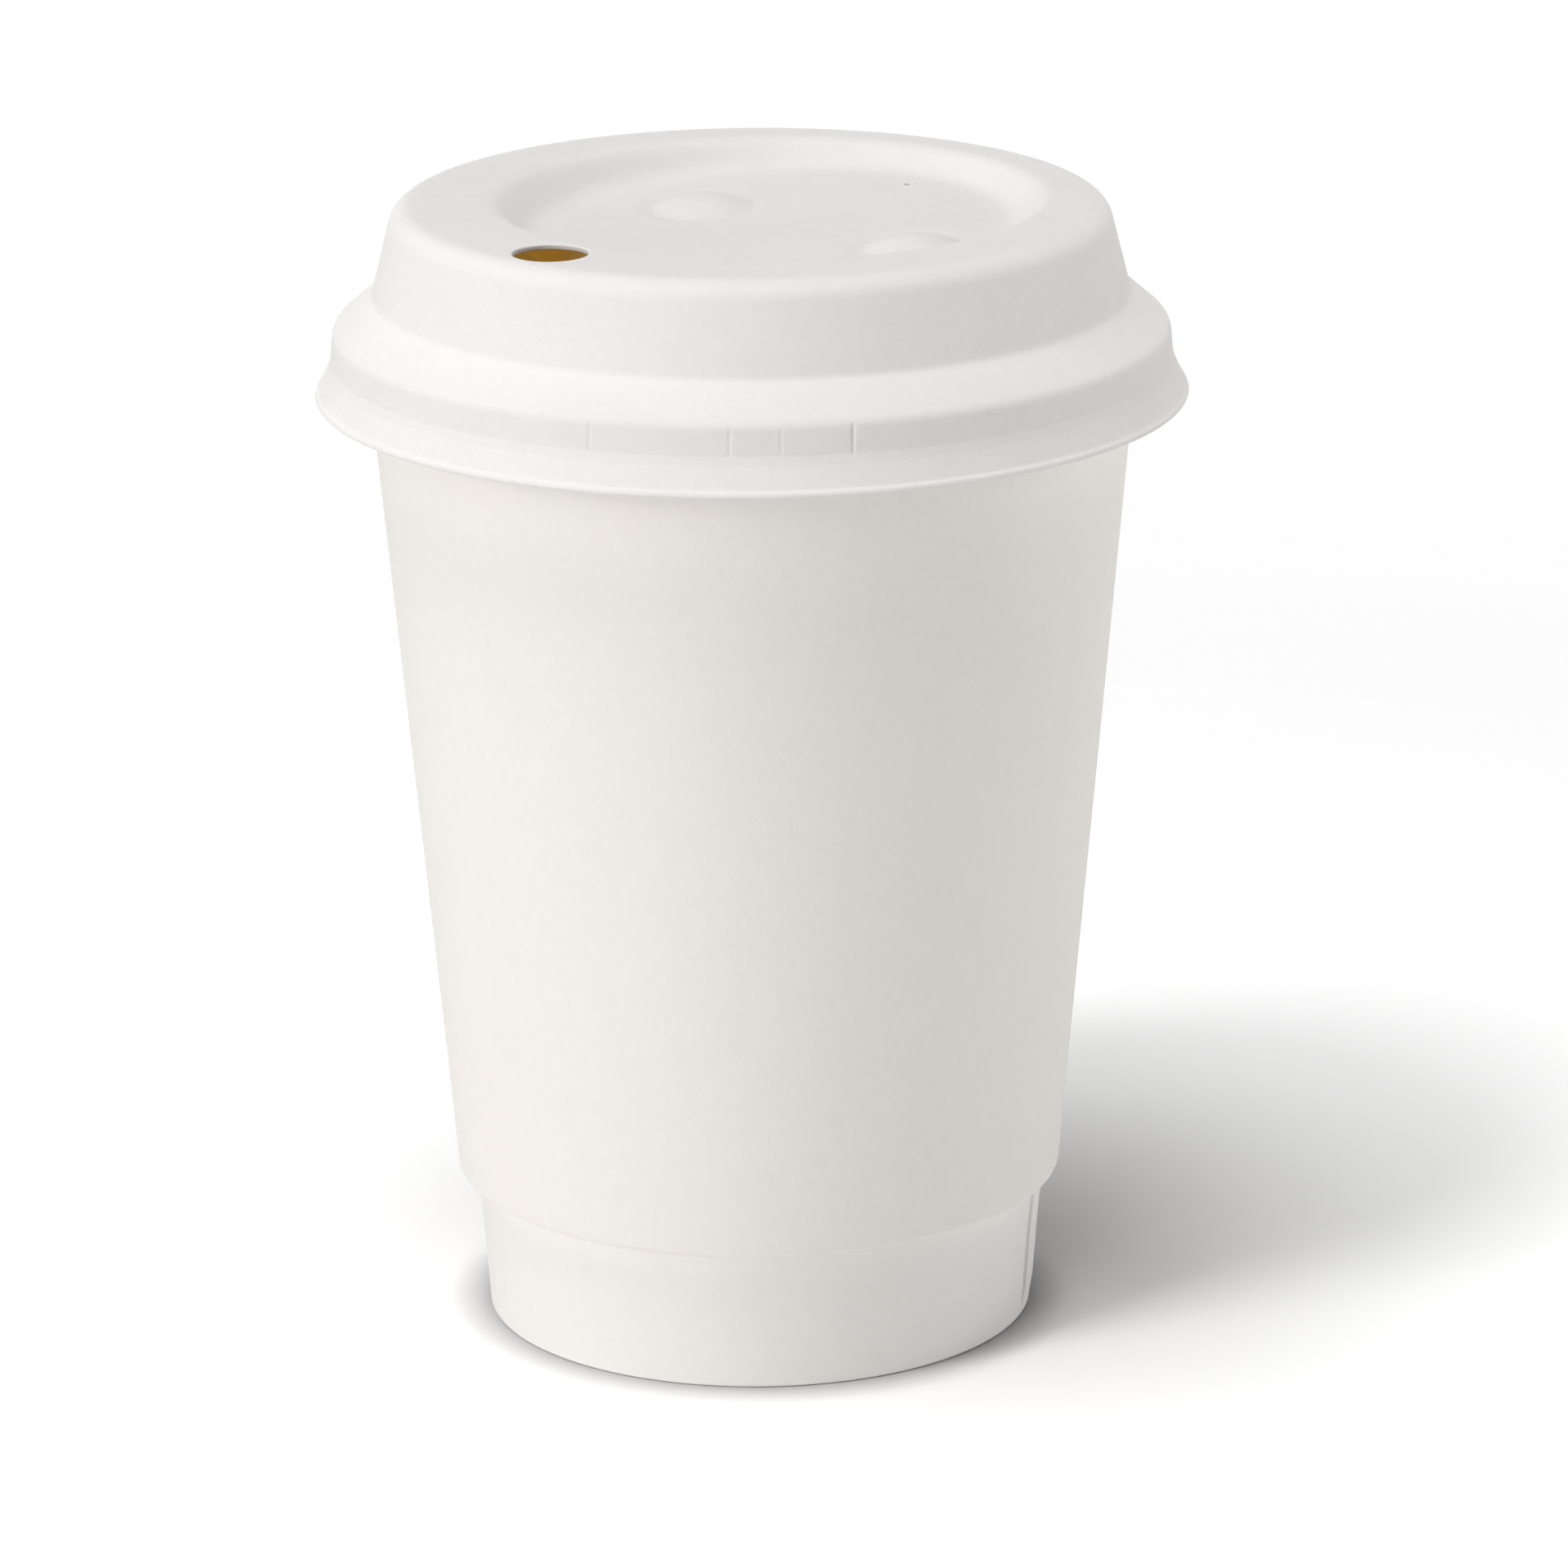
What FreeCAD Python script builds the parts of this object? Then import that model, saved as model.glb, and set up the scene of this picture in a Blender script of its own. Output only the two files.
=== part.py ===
import FreeCAD, Part
import math
import os

# Double-walled paper cup with a moulded fibre lid.
# Millimetres, +Z up. The origin is on the table, at the centre of the foot,
# and -Y is the front.

# Board and fibre
cup_board = 0.45            # coated board of the inner cup and its base
jacket_board = 0.40         # plain board of the outer jacket
lid_wall = 0.65             # pressed fibre of the lid
glue_line = 0.05            # between two layers of board that are glued

# Inner cup
cup_height = 112.2          # table to the top of the rolled rim
rim_radius = 44.6           # outside of the rolled rim
curl_radius = 1.7           # outside of the roll's own section
curl_turn = 285.0           # degrees that the board turns in the roll
foot_radius = 30.2          # outside of the wall at the table
knee_height = 10.0          # the foot is pressed out against the base below this
knee_radius = 30.95         # outside of the wall at that height
foot_fold_height = 6.5      # top of the board folded in round the base's skirt
foot_edge_round = 0.4       # outer and inner edge of the folded foot

# Side seam of the inner cup, where the blank's two edges overlap
seam_azimuth = -16.0        # outer edge of the overlap, in degrees from +X
seam_width = 11.0           # overlap, measured round the wall, anticlockwise from that edge
seam_rise_foot = 0.32       # step of the outer edge, from the foot to the knee
seam_rise_rim = 0.03        # the seam is pressed flat near the rim
seam_rise_inside = 0.20     # step of the inner edge, inside the cup
seam_lead_in = 0.08         # an overlap's thin end lies this far inside the wall's face
seam_root = 0.25            # an overlap is rooted this deep in its wall

# Base
base_height = 8.0           # underside of the base disc above the table
base_bend = 1.0             # outer bend between the disc and its skirt
skirt_foot_gap = 0.1        # the skirt's lower edge above the fold

# Outer jacket
jacket_foot_height = 15.95  # lower edge above the table
jacket_foot_radius = 33.42  # outside, at the lower edge
jacket_top_height = 106.6   # upper edge, glued to the cup under the rim
jacket_hem_round = 1.0      # outer bend of the turned-in lower edge
jacket_seam_azimuth = 100.0
jacket_seam_width = 8.0
jacket_seam_rise = 0.28

# Lid, heights of its zones counted up from the lower edge
lid_drop = 7.7              # the lid's lower edge below the top of the rim
lip_height = 0.8
lip_upright = 0.48          # the lip's outer face is upright for this height
flare_height = 2.3
ledge_height = 1.0
band_height = 3.3
shoulder_height = 3.7
crown_height = 9.9
snap_clearance = 0.35       # between the rolled rim and the lid's band
band_draft = 0.15           # the band widens this much below its middle, and narrows above
ledge_step = 0.3
flare_low_radius = 47.05
hem_radius = 47.45
crown_foot_radius = 41.15
crown_top_radius = 38.65
crown_edge_round = 2.6
shoulder_round = 1.6
crown_foot_round = 1.3
lid_soft_round = 0.6        # small bends of the band, ledge and lip
lip_edge_round = 0.25       # outer edge of the lip's underside

# Recess in the lid's deck. The lid is mirrored about the line through the sip hole.
lid_axis_azimuth = 49.4     # the side away from the sip hole
recess_offset = 3.0         # centre of the recess from the lid's centre
recess_radius = 29.75       # where the recess wall would meet the deck
recess_depth = 4.2          # below the deck, at the lid's centre
recess_fall = 2.9           # the floor falls towards the sip hole, in degrees
recess_wall_slope = 52.5    # from the horizontal, in degrees
recess_rim_round = 2.5
recess_floor_round = 3.5

# Sip hole, vent and the two raised buttons
sip_radius = 32.3           # centre of the hole from the lid's centre
sip_bore = 8.1
vent_radius = 26.7          # centre of the vent from the lid's centre
vent_bore = 0.8
button_radius = 5.2
button_height = 1.3
button_places = ((15.4, 110.4), (18.6, -20.0))   # radius and azimuth of each centre

Z_AXIS = FreeCAD.Vector(0, 0, 1)

# Sizes that follow from the ones above
curl_height = cup_height - curl_radius
wall_top_radius = rim_radius - 2 * curl_radius + cup_board
seam_top = curl_height - curl_radius
base_top = base_height + cup_board
lid_foot_height = cup_height - lid_drop
deck_height = (lid_foot_height + lip_height + flare_height + ledge_height + band_height
               + shoulder_height + crown_height)


def along(start, end, share):
    return start + (end - start) * share


def wall_radius(z):
    """Outside radius of the inner cup's wall at height z."""
    if z < knee_height:
        return along(foot_radius, knee_radius, z / knee_height)
    share = (z - knee_height) / (curl_height - knee_height)
    return along(knee_radius, wall_top_radius, share)


def jacket_radius(z):
    """Outside radius of the jacket at height z."""
    top_radius = wall_radius(jacket_top_height) + glue_line + jacket_board
    share = (z - jacket_foot_height) / (jacket_top_height - jacket_foot_height)
    return along(jacket_foot_radius, top_radius, share)


def seam_rise(z):
    """Step of the inner cup's seam on its outside, at height z."""
    share = (z - knee_height) / (seam_top - knee_height)
    return along(seam_rise_foot, seam_rise_rim, max(share, 0))


def point(r, z):
    return FreeCAD.Vector(r, 0, z)


def polar(radius, azimuth, z=0.0):
    angle = math.radians(azimuth)
    return FreeCAD.Vector(radius * math.cos(angle), radius * math.sin(angle), z)


def outline(corners):
    """Edges through (r, z, round) corners: straight runs with a tangent arc at each round."""
    edges = []
    start = point(*corners[0][:2])
    for before, corner, after in zip(corners, corners[1:], corners[2:]):
        here = point(*corner[:2])
        back = (point(*before[:2]) - here).normalize()
        ahead = (point(*after[:2]) - here).normalize()
        if corner[2] > 0:
            half = back.getAngle(ahead) / 2
            reach = corner[2] / math.tan(half)
            centre = here + (back + ahead).normalize() * (corner[2] / math.sin(half))
            middle = centre + (here - centre).normalize() * corner[2]
            arc_start = here + back * reach
            arc_end = here + ahead * reach
            edges.append(Part.makeLine(start, arc_start))
            edges.append(Part.Arc(arc_start, middle, arc_end).toShape())
            start = arc_end
        else:
            edges.append(Part.makeLine(start, here))
            start = here
    edges.append(Part.makeLine(start, point(*corners[-1][:2])))
    return edges


def inset(corners, depth):
    """The same outline moved by depth to the left of its direction, rounds kept concentric."""
    moved = []
    for (r0, z0, _), (r1, z1, _) in zip(corners, corners[1:]):
        length = math.hypot(r1 - r0, z1 - z0)
        nr = -(z1 - z0) / length * depth
        nz = (r1 - r0) / length * depth
        moved.append(((r0 + nr, z0 + nz), (r1 + nr, z1 + nz)))
    result = [(*moved[0][0], 0)]
    for first, second, corner in zip(moved, moved[1:], corners[1:]):
        (ar, az), (br, bz) = first
        (cr, cz), (dr, dz) = second
        cross = (br - ar) * (dz - cz) - (bz - az) * (dr - cr)
        share = ((cr - ar) * (dz - cz) - (cz - az) * (dr - cr)) / cross
        turn = math.copysign(depth, cross)
        rounding = max(corner[2] - turn, 0) if corner[2] > 0 else 0
        result.append((along(ar, br, share), along(az, bz, share), rounding))
    result.append((*moved[-1][1], 0))
    return result


def turned(edges):
    """Solid of revolution of a closed outline about the Z axis."""
    face = Part.Face(Part.Wire(edges))
    return face.revolve(point(0, 0), Z_AXIS, 360)


def closed(corners):
    edges = outline(corners)
    edges.append(Part.makeLine(edges[-1].Vertexes[-1].Point, edges[0].Vertexes[0].Point))
    return edges


def seam_flap(sections, width, azimuth, side):
    """Overlap of a rolled blank, lofted through (height, radius of the face, rise) sections.

    On the outside (side 1) the face has a step at azimuth and falls away slowly beyond it. Inside
    (side -1) it falls away the other way, from a step at the far end of the overlap.
    """
    wires = []
    for z, face, rise in sections:
        far = azimuth + math.degrees(width / face)
        thin_end, step = (far, azimuth) if side > 0 else (azimuth, far)
        middle = (thin_end + step) / 2
        root = face - side * seam_root
        skin = face - side * seam_lead_in
        crest = face + side * rise
        brow = along(crest, skin, 0.25)     # an arc through here leaves the step level
        root_thin = polar(root, thin_end, z)
        root_step = polar(root, step, z)
        skin_end = polar(skin, thin_end, z)
        crest_end = polar(crest, step, z)
        wires.append(Part.Wire([
            Part.makeLine(root_thin, skin_end),
            Part.Arc(skin_end, polar(brow, middle, z), crest_end).toShape(),
            Part.makeLine(crest_end, root_step),
            Part.Arc(root_step, polar(root, middle, z), root_thin).toShape(),
        ]))
    return Part.makeLoft(wires, True, True)


def cup_seam(top, growth=0.0):
    """The inner cup's overlap on its outside, from the foot up to top, raised by growth."""
    sections = [(z, wall_radius(z), seam_rise(z) + growth)
                for z in (foot_edge_round, knee_height, top)]
    return seam_flap(sections, seam_width, seam_azimuth, 1)


def cup_seam_inside():
    """The same overlap inside the cup, above the base."""
    sections = [(z, wall_radius(z) - cup_board, seam_rise_inside)
                for z in (base_top + glue_line, knee_height, seam_top)]
    return seam_flap(sections, seam_width, seam_azimuth, -1)


def curl_edges(radius_here, start_angle, end_angle):
    """Arc of the rolled rim, at radius_here from the roll's centre, by angle from +r."""
    centre_r = rim_radius - curl_radius
    points = []
    for angle in (start_angle, (start_angle + end_angle) / 2, end_angle):
        turn = math.radians(angle)
        points.append(point(centre_r + radius_here * math.cos(turn),
                            curl_height + radius_here * math.sin(turn)))
    return Part.Arc(*points).toShape(), points[0], points[-1]


def inner_cup():
    """One blank: folded foot, wall, rolled rim, and the overlapped side seam."""
    outer_arc, _, outer_tip = curl_edges(curl_radius, 180, 180 - curl_turn)
    inner_arc, wall_top, inner_tip = curl_edges(curl_radius - cup_board, 180, 180 - curl_turn)
    slot = cup_board + 2 * glue_line
    fold_inside = 2 * cup_board + slot
    # Up the outside of the wall, from the middle of the foot's flat
    outside = outline([
        (foot_radius - fold_inside / 2, 0, 0),
        (foot_radius, 0, foot_edge_round),
        (knee_radius, knee_height, 0),
        (wall_top.x, wall_top.z, 0),
    ])
    # Down the inside of the wall, round the slot for the skirt, and down the fold
    inside = outline([
        (wall_top.x - cup_board, wall_top.z, 0),
        (wall_radius(knee_height) - cup_board, knee_height, 0),
        (wall_radius(cup_board) - cup_board, cup_board, 0),
        (wall_radius(cup_board) - cup_board - slot, cup_board, 0),
        (wall_radius(foot_fold_height) - cup_board - slot, foot_fold_height, 0),
        (wall_radius(foot_fold_height) - fold_inside, foot_fold_height, 0),
        (foot_radius - fold_inside, 0, foot_edge_round),
        (foot_radius - fold_inside / 2, 0, 0),
    ])
    roll = [inner_arc, Part.makeLine(inner_tip, outer_tip), outer_arc]
    shell = turned(Part.Wire(Part.__sortEdges__(outside + roll + inside)).Edges)
    return shell.fuse(cup_seam(seam_top)).fuse(cup_seam_inside()).removeSplitter()


def base_disc():
    """Disc that closes the cup, with its skirt held in the folded foot."""
    reach = cup_board + glue_line
    low = cup_board + skirt_foot_gap
    corners = [
        (0, base_top, 0),
        (wall_radius(base_top) - reach, base_top, base_bend),
        (wall_radius(low) - reach, low, 0),
        (wall_radius(low) - reach - cup_board, low, 0),
        (wall_radius(base_height) - reach - cup_board, base_height, base_bend - cup_board),
        (0, base_height, 0),
    ]
    return turned(closed(corners))


def outer_jacket():
    """Cone glued on under the rim, standing off below, with its lower edge turned in."""
    seat = wall_radius(jacket_foot_height) + glue_line
    inner_low = jacket_foot_height + jacket_board
    corners = [
        (seat, jacket_foot_height, 0),
        (jacket_foot_radius, jacket_foot_height, jacket_hem_round),
        (jacket_radius(jacket_top_height), jacket_top_height, 0),
        (jacket_radius(jacket_top_height) - jacket_board, jacket_top_height, 0),
        (jacket_radius(inner_low) - jacket_board, inner_low, jacket_hem_round - jacket_board),
        (seat, inner_low, 0),
    ]
    sections = [(z, jacket_radius(z), jacket_seam_rise)
                for z in (jacket_foot_height + jacket_hem_round, jacket_top_height)]
    flap = seam_flap(sections, jacket_seam_width, jacket_seam_azimuth, 1)
    # The turned-in edge is pressed round the inner cup's seam
    hem_top = jacket_foot_height + 2 * jacket_hem_round
    shell = turned(closed(corners)).cut(cup_seam(hem_top, glue_line))
    return shell.fuse(flap).removeSplitter()


def lid_outline():
    """Outside of the lid from the middle of its lower edge up to the middle of its deck."""
    band_radius = rim_radius + snap_clearance + lid_wall
    heights = [lid_foot_height]
    for zone in (lip_height, flare_height, ledge_height, band_height, shoulder_height,
                 crown_height):
        heights.append(heights[-1] + zone)
    return [
        (hem_radius, heights[0], 0),
        (hem_radius, heights[0] + lip_upright, lid_soft_round),
        (flare_low_radius, heights[1], lid_soft_round),
        (band_radius + band_draft + ledge_step, heights[2], lid_soft_round),
        (band_radius + band_draft, heights[3], lid_soft_round),
        (band_radius - band_draft, heights[4], shoulder_round),
        (crown_foot_radius, heights[5], crown_foot_round),
        (crown_top_radius, heights[6], crown_edge_round),
        (0, heights[6], 0),
    ]


def filled(corners):
    """Solid below an outline that ends on the axis."""
    edges = outline(corners)
    foot = (0, corners[0][1])
    edges.append(Part.makeLine(point(*corners[-1][:2]), point(*foot)))
    edges.append(Part.makeLine(point(*foot), point(*corners[0][:2])))
    return turned(edges)


def floor_frame(drop):
    """Placement on the recess floor, drop below it: Z is the floor's normal."""
    tilt = FreeCAD.Rotation(polar(1, lid_axis_azimuth + 90), -recess_fall)
    at = FreeCAD.Vector(0, 0, deck_height - recess_depth)
    return FreeCAD.Placement(at - tilt.multVec(Z_AXIS) * drop, tilt)


def recess_cutter(growth):
    """Space of the recess, grown by growth on its wall and floor."""
    slope = math.radians(recess_wall_slope)
    low = deck_height - 3 * recess_depth
    top = deck_height + recess_depth
    radius = recess_radius + growth / math.sin(slope)
    low_radius = radius - (deck_height - low) / math.tan(slope)
    top_radius = radius + (top - deck_height) / math.tan(slope)
    centre = polar(recess_offset, lid_axis_azimuth, low)
    cone = Part.makeCone(low_radius, top_radius, top - low, centre, Z_AXIS)
    size = 4 * rim_radius
    above = Part.makeBox(size, size, size, FreeCAD.Vector(-size / 2, -size / 2, 0))
    above.Placement = floor_frame(growth).multiply(above.Placement)
    return cone.common(above)


def recess_edges(solid, low, high):
    """Edges round the recess that lie between two heights."""
    found = []
    for edge in solid.Edges:
        box = edge.BoundBox
        round_recess = recess_radius < box.XLength < 2.2 * recess_radius
        if round_recess and low < box.ZMin and box.ZMax < high:
            found.append(edge)
    return found


def with_recess(solid, deck, growth, rim_round, floor_round):
    """Cuts the recess into a solid whose top is at deck, and rounds its two edges."""
    hair = lid_wall / 100
    solid = solid.cut(recess_cutter(growth))
    solid = solid.makeFillet(rim_round, recess_edges(solid, deck - hair, deck + hair))
    floor_edges = recess_edges(solid, deck - 2 * recess_depth, deck - rim_round)
    return solid.makeFillet(floor_round, floor_edges)


def button_cap(radius, azimuth, shrink):
    """Top of a ball that stands out of the recess floor, made smaller by shrink."""
    ball = (button_radius ** 2 + button_height ** 2) / (2 * button_height)
    frame = floor_frame(0)
    spot = polar(radius, azimuth, frame.Base.z)
    # Straight down from the spot to the tilted floor
    normal = frame.Rotation.multVec(Z_AXIS)
    spot.z -= (spot - frame.Base).dot(normal) / normal.z
    centre = spot - normal * (ball - button_height)
    sphere = Part.makeSphere(ball - shrink, centre)
    post_foot = spot - normal * 2 * button_height
    post = Part.makeCylinder(button_radius, 4 * button_height, post_foot, normal)
    return sphere.common(post)


def deck_drill(bore, radius, azimuth):
    """Upright drill through the deck or the recess floor."""
    place = polar(radius, azimuth, deck_height - 2 * recess_depth)
    return Part.makeCylinder(bore / 2, 3 * recess_depth, place, Z_AXIS)


def lid():
    """Pressed fibre shell: lip, band that grips the rim, crown, and deck with its recess."""
    profile = lid_outline()
    start = (hem_radius - lid_wall / 2, lid_foot_height, 0)
    outside = [start, (hem_radius, lid_foot_height, lip_edge_round)] + profile[1:]
    # Inside the lip the flare runs on straight, past the lower edge
    flare_slope = (profile[2][0] - profile[3][0]) / flare_height
    below = (profile[2][0] + flare_slope * (lip_height + lid_wall), lid_foot_height - lid_wall, 0)
    inside = inset([below] + profile[3:], lid_wall)
    body = with_recess(filled(outside), deck_height, 0, recess_rim_round, recess_floor_round)
    cavity = with_recess(filled(inside), deck_height - lid_wall, lid_wall,
                         recess_rim_round - lid_wall, recess_floor_round + lid_wall)
    for radius, azimuth in button_places:
        body = body.fuse(button_cap(radius, azimuth, 0))
        cavity = cavity.fuse(button_cap(radius, azimuth, lid_wall))
    sip_hole = deck_drill(sip_bore, sip_radius, lid_axis_azimuth + 180)
    vent = deck_drill(vent_bore, vent_radius, lid_axis_azimuth)
    return body.cut(cavity).cut(sip_hole).cut(vent)


def save(name, shape):
    shape.exportStep(os.path.join("parts", name + ".step"))
    print(name, "valid", shape.isValid(), "solids", len(shape.Solids), "volume",
          round(shape.Volume, 1))


def main():
    os.makedirs("parts", exist_ok=True)
    save("inner_cup", inner_cup())
    save("base_disc", base_disc())
    save("outer_jacket", outer_jacket())
    save("lid", lid())


main()
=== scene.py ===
import math

import bpy
import numpy as np
from mathutils import Matrix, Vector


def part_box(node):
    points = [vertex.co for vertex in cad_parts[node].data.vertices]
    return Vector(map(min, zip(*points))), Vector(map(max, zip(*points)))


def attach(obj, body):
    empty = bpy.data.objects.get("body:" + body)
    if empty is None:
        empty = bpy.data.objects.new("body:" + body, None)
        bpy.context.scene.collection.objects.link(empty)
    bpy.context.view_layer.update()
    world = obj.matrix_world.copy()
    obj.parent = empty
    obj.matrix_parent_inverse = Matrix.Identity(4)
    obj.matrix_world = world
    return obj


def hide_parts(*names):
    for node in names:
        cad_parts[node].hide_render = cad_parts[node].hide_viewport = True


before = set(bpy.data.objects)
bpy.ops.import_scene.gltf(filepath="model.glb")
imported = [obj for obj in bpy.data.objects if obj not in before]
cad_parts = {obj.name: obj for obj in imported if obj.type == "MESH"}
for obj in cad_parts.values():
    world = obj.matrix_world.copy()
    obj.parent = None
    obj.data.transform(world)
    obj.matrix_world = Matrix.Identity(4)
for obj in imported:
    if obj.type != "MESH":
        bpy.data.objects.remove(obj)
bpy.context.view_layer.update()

# Double-walled paper cup with a moulded fibre lid. Metres, +Z up, -Y is the front.
# Each piece is one closed surface: a section in the (r, z) half plane carried round the Z axis.
MM = 0.001

# Board and fibre
cup_board = 0.45 * MM
jacket_board = 0.40 * MM
lid_wall = 0.65 * MM
glue_line = 0.05 * MM
cut_edge_round = 0.12 * MM

# Inner cup
rim_radius = 44.6 * MM
cup_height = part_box("inner_cup")[1].z
curl_radius = 1.7 * MM
curl_turn = 285.0
curl_height = cup_height - curl_radius
wall_top_radius = rim_radius - 2 * curl_radius + cup_board
foot_radius = 30.2 * MM
knee_height = 10.0 * MM
knee_radius = 30.95 * MM
knee_round = 40.0 * MM
foot_fold_height = 6.5 * MM
foot_edge_round = 0.4 * MM

# Side seams, where a blank's two edges overlap: azimuths in degrees from +X
seam_azimuth = -16.0
seam_width = 11.0 * MM
seam_rise_foot = 0.32 * MM
seam_rise_rim = 0.03 * MM
seam_rise_inside = 0.20 * MM
jacket_seam_azimuth = 100.0
jacket_seam_width = 8.0 * MM
jacket_seam_rise = 0.28 * MM
seam_crest = 1.35          # steepness of the fall, which leaves the first part of the width level
seam_hair = 0.025 * MM     # width of the step at a seam's edge
seam_fade_low = 1.0 * MM
seam_fade_high = 3.6 * MM

# Base
base_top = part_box("base_disc")[1].z
base_bend = 1.0 * MM
skirt_foot_gap = 0.1 * MM
base_pole_ring = 0.5 * MM  # radius of the innermost ring of each face

# Outer jacket
jacket_foot_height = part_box("outer_jacket")[0].z
jacket_top_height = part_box("outer_jacket")[1].z
jacket_foot_radius = 33.42 * MM
jacket_hem_round = 1.0 * MM
jacket_pressed = 0.7 * MM  # the turned-in edge follows the cup's seam this far out
jacket_sway = 0.05 * MM
jacket_waves = (3, 5, 8, 13)

# Lid, heights of its zones counted up from its lower edge
lid_foot_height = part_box("lid")[0].z
deck_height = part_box("lid")[1].z
hem_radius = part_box("lid")[1].x
lip_height = 0.8 * MM
lip_upright = 0.48 * MM
flare_height = 2.3 * MM
ledge_height = 1.0 * MM
band_height = 3.3 * MM
shoulder_height = 3.7 * MM
snap_clearance = 0.35 * MM
band_draft = 0.15 * MM
ledge_step = 0.3 * MM
flare_low_radius = 47.05 * MM
crown_foot_radius = 41.15 * MM
crown_top_radius = 38.65 * MM
crown_edge_round = 2.6 * MM
shoulder_round = 1.6 * MM
crown_foot_round = 1.3 * MM
lid_soft_round = 0.6 * MM
lip_edge_round = 0.25 * MM

# Recess in the lid's deck, which is mirrored about the line through the sip hole
lid_axis_azimuth = 49.4
recess_offset = 3.0 * MM
recess_radius = 29.75 * MM
recess_depth = 4.2 * MM
recess_fall = 2.9
recess_wall_slope = 52.5
recess_rim_round = 2.5 * MM
recess_floor_round = 3.5 * MM
recess_reach = 31.8 * MM

# Raised buttons, with a shallow groove pressed round each
button_places = ((15.4 * MM, 110.4), (18.6 * MM, -20.0))
button_radius = 5.0 * MM
button_height = 1.3 * MM
button_softness = 0.12
groove_radius = 5.9 * MM
groove_width = 0.8 * MM
groove_depth = 0.22 * MM

# Sip hole and vent
sip_radius = 32.3 * MM
sip_bore = 8.1 * MM
vent_radius = 26.7 * MM
vent_bore = 0.8 * MM
hole_lip_round = 0.2 * MM
sip_patch = 4.9 * MM        # half the side of the block of quads that the hole's own rows replace
vent_patch = 1.3 * MM

# Painted light inside the closed cup: an amber colour and an amber glow stand in for the light that
# comes through its walls. How far round the sip hole it is painted, and how shut off from light a
# spot must be for it
painted_light_reach = 34.0 * MM
painted_light_fade = 0.4          # share of that reach over which it fades out
painted_light_amber = (0.62, 0.30, 0.035, 1)
painted_light_glow = (0.165, 0.100, 0.016, 1)
shade_reach = 0.2
shade_full = 0.02
shade_none = 0.12

# Short creases left across the band by the pressing tool: azimuth and depth of each
band_creases = ((-111.6, 0.13 * MM), (-92.8, 0.08 * MM), (-86.1, 0.06 * MM), (-76.6, 0.20 * MM))
crease_width = 0.16 * MM

# Fineness along a section
ARC_STEP = math.radians(11)
RUN_STEP = 3.0 * MM
RUN_HOLD = 0.15 * MM       # a run's first and last points lie at most this far from its ends
SAME_POINT = 0.01 * MM
LEAST_ROUND = 0.15 * MM    # what a rounded corner keeps when its outline is inset

# Fineness round the axis: even azimuths of each piece, and the finer ones at the lid's holes,
# each with half their spread in degrees and their number
CUP_TURNS = 224
BASE_TURNS = 160
JACKET_TURNS = 256
LID_TURNS = 192
FLOOR_TURNS = 96
SIP_TURNS = (9.5, 24)
VENT_TURNS = (3.2, 10)
LEAST_TURN = math.radians(0.004)

# Rings of the lid's deck: across its edge, down the recess's wall as far as a radius, and inwards
EDGE_RINGS = 9
WALL_RING_STEP = 0.27 * MM
WALL_RINGS_END = 23.2 * MM
FLOOR_RINGS = 54
FLOOR_RING_STEP = 0.4 * MM

# View of the reference: aim point, distance, pitch down, roll and lens
aim_point = (3.12 * MM, 0.0, 59.57 * MM)
camera_distance = 900.1 * MM
camera_pitch = 16.74
camera_roll = -0.456
lens_length = 187.2
sensor_width = 36.0

# Lamps, all at one distance: name, azimuth, elevation, size (m), power (W) and what each lights
lamp_distance = 2.5
lamps = (("key", -131, 80, 1.6, 48.8, "all"),
         ("front", -131, 32, 1.2, 10.4, "cup"),
         ("left", -150, 12, 1.2, 16.9, "cup"),
         ("right", 12, 9, 1.4, 21.0, "cup"),
         ("low key", -133, 57, 0.5, 21.0, "floor"))
sky_strength = 1.24
sky_falloff = 6.3

# Floor: radii of its rings, its grey for the light that it passes on, its brightness as seen,
# and where it fades out
floor_rings = (0.02, 0.2, 0.5, 1.6)
floor_grey = 0.80
floor_gain = 1.08
floor_fade_near = 0.24
floor_fade_far = 0.36
# Painted contact shadow that camera rays see on the floor: how far from the foot it reaches and how
# much it darkens
contact_reach = 6.0 * MM
contact_shadow_darkness = 0.5


def along(start, end, share):
    """Value at a share of the way from start to end."""
    return start + (end - start) * share


def wall_radius(z):
    """Outside radius of the inner cup's wall: two straight cones that meet at the knee."""
    low = along(foot_radius, knee_radius, z / knee_height)
    high = along(knee_radius, wall_top_radius, (z - knee_height) / (curl_height - knee_height))
    return np.where(z < knee_height, low, high)


def arc(centre, radius, start, end):
    """Points centre + radius * (cos a, sin a), with the angle a going from start to end."""
    count = max(2, math.ceil(abs(end - start) / ARC_STEP) + 1)
    turn = np.linspace(start, end, count)
    return np.column_stack([centre[0] + radius * np.cos(turn), centre[1] + radius * np.sin(turn)])


def corner_points(before, corner, after):
    """A corner cut by a circle that touches both of its runs at round * tan(turn / 2) from it."""
    here = np.array(corner[:2], float)
    if corner[2] <= 0:
        return here[None, :]
    arriving = here - np.array(before[:2], float)
    leaving = np.array(after[:2], float) - here
    start = math.atan2(arriving[1], arriving[0])
    turn = math.atan2(leaving[1], leaving[0]) - start
    turn = (turn + math.pi) % (2 * math.pi) - math.pi
    side = math.copysign(1, turn)
    reach = corner[2] * math.tan(abs(turn) / 2)
    first = here - reach * arriving / np.linalg.norm(arriving)
    centre = first + side * corner[2] * np.array([-math.sin(start), math.cos(start)])
    angle = start - side * math.pi / 2
    return arc(centre, corner[2], angle, angle + turn)


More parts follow.
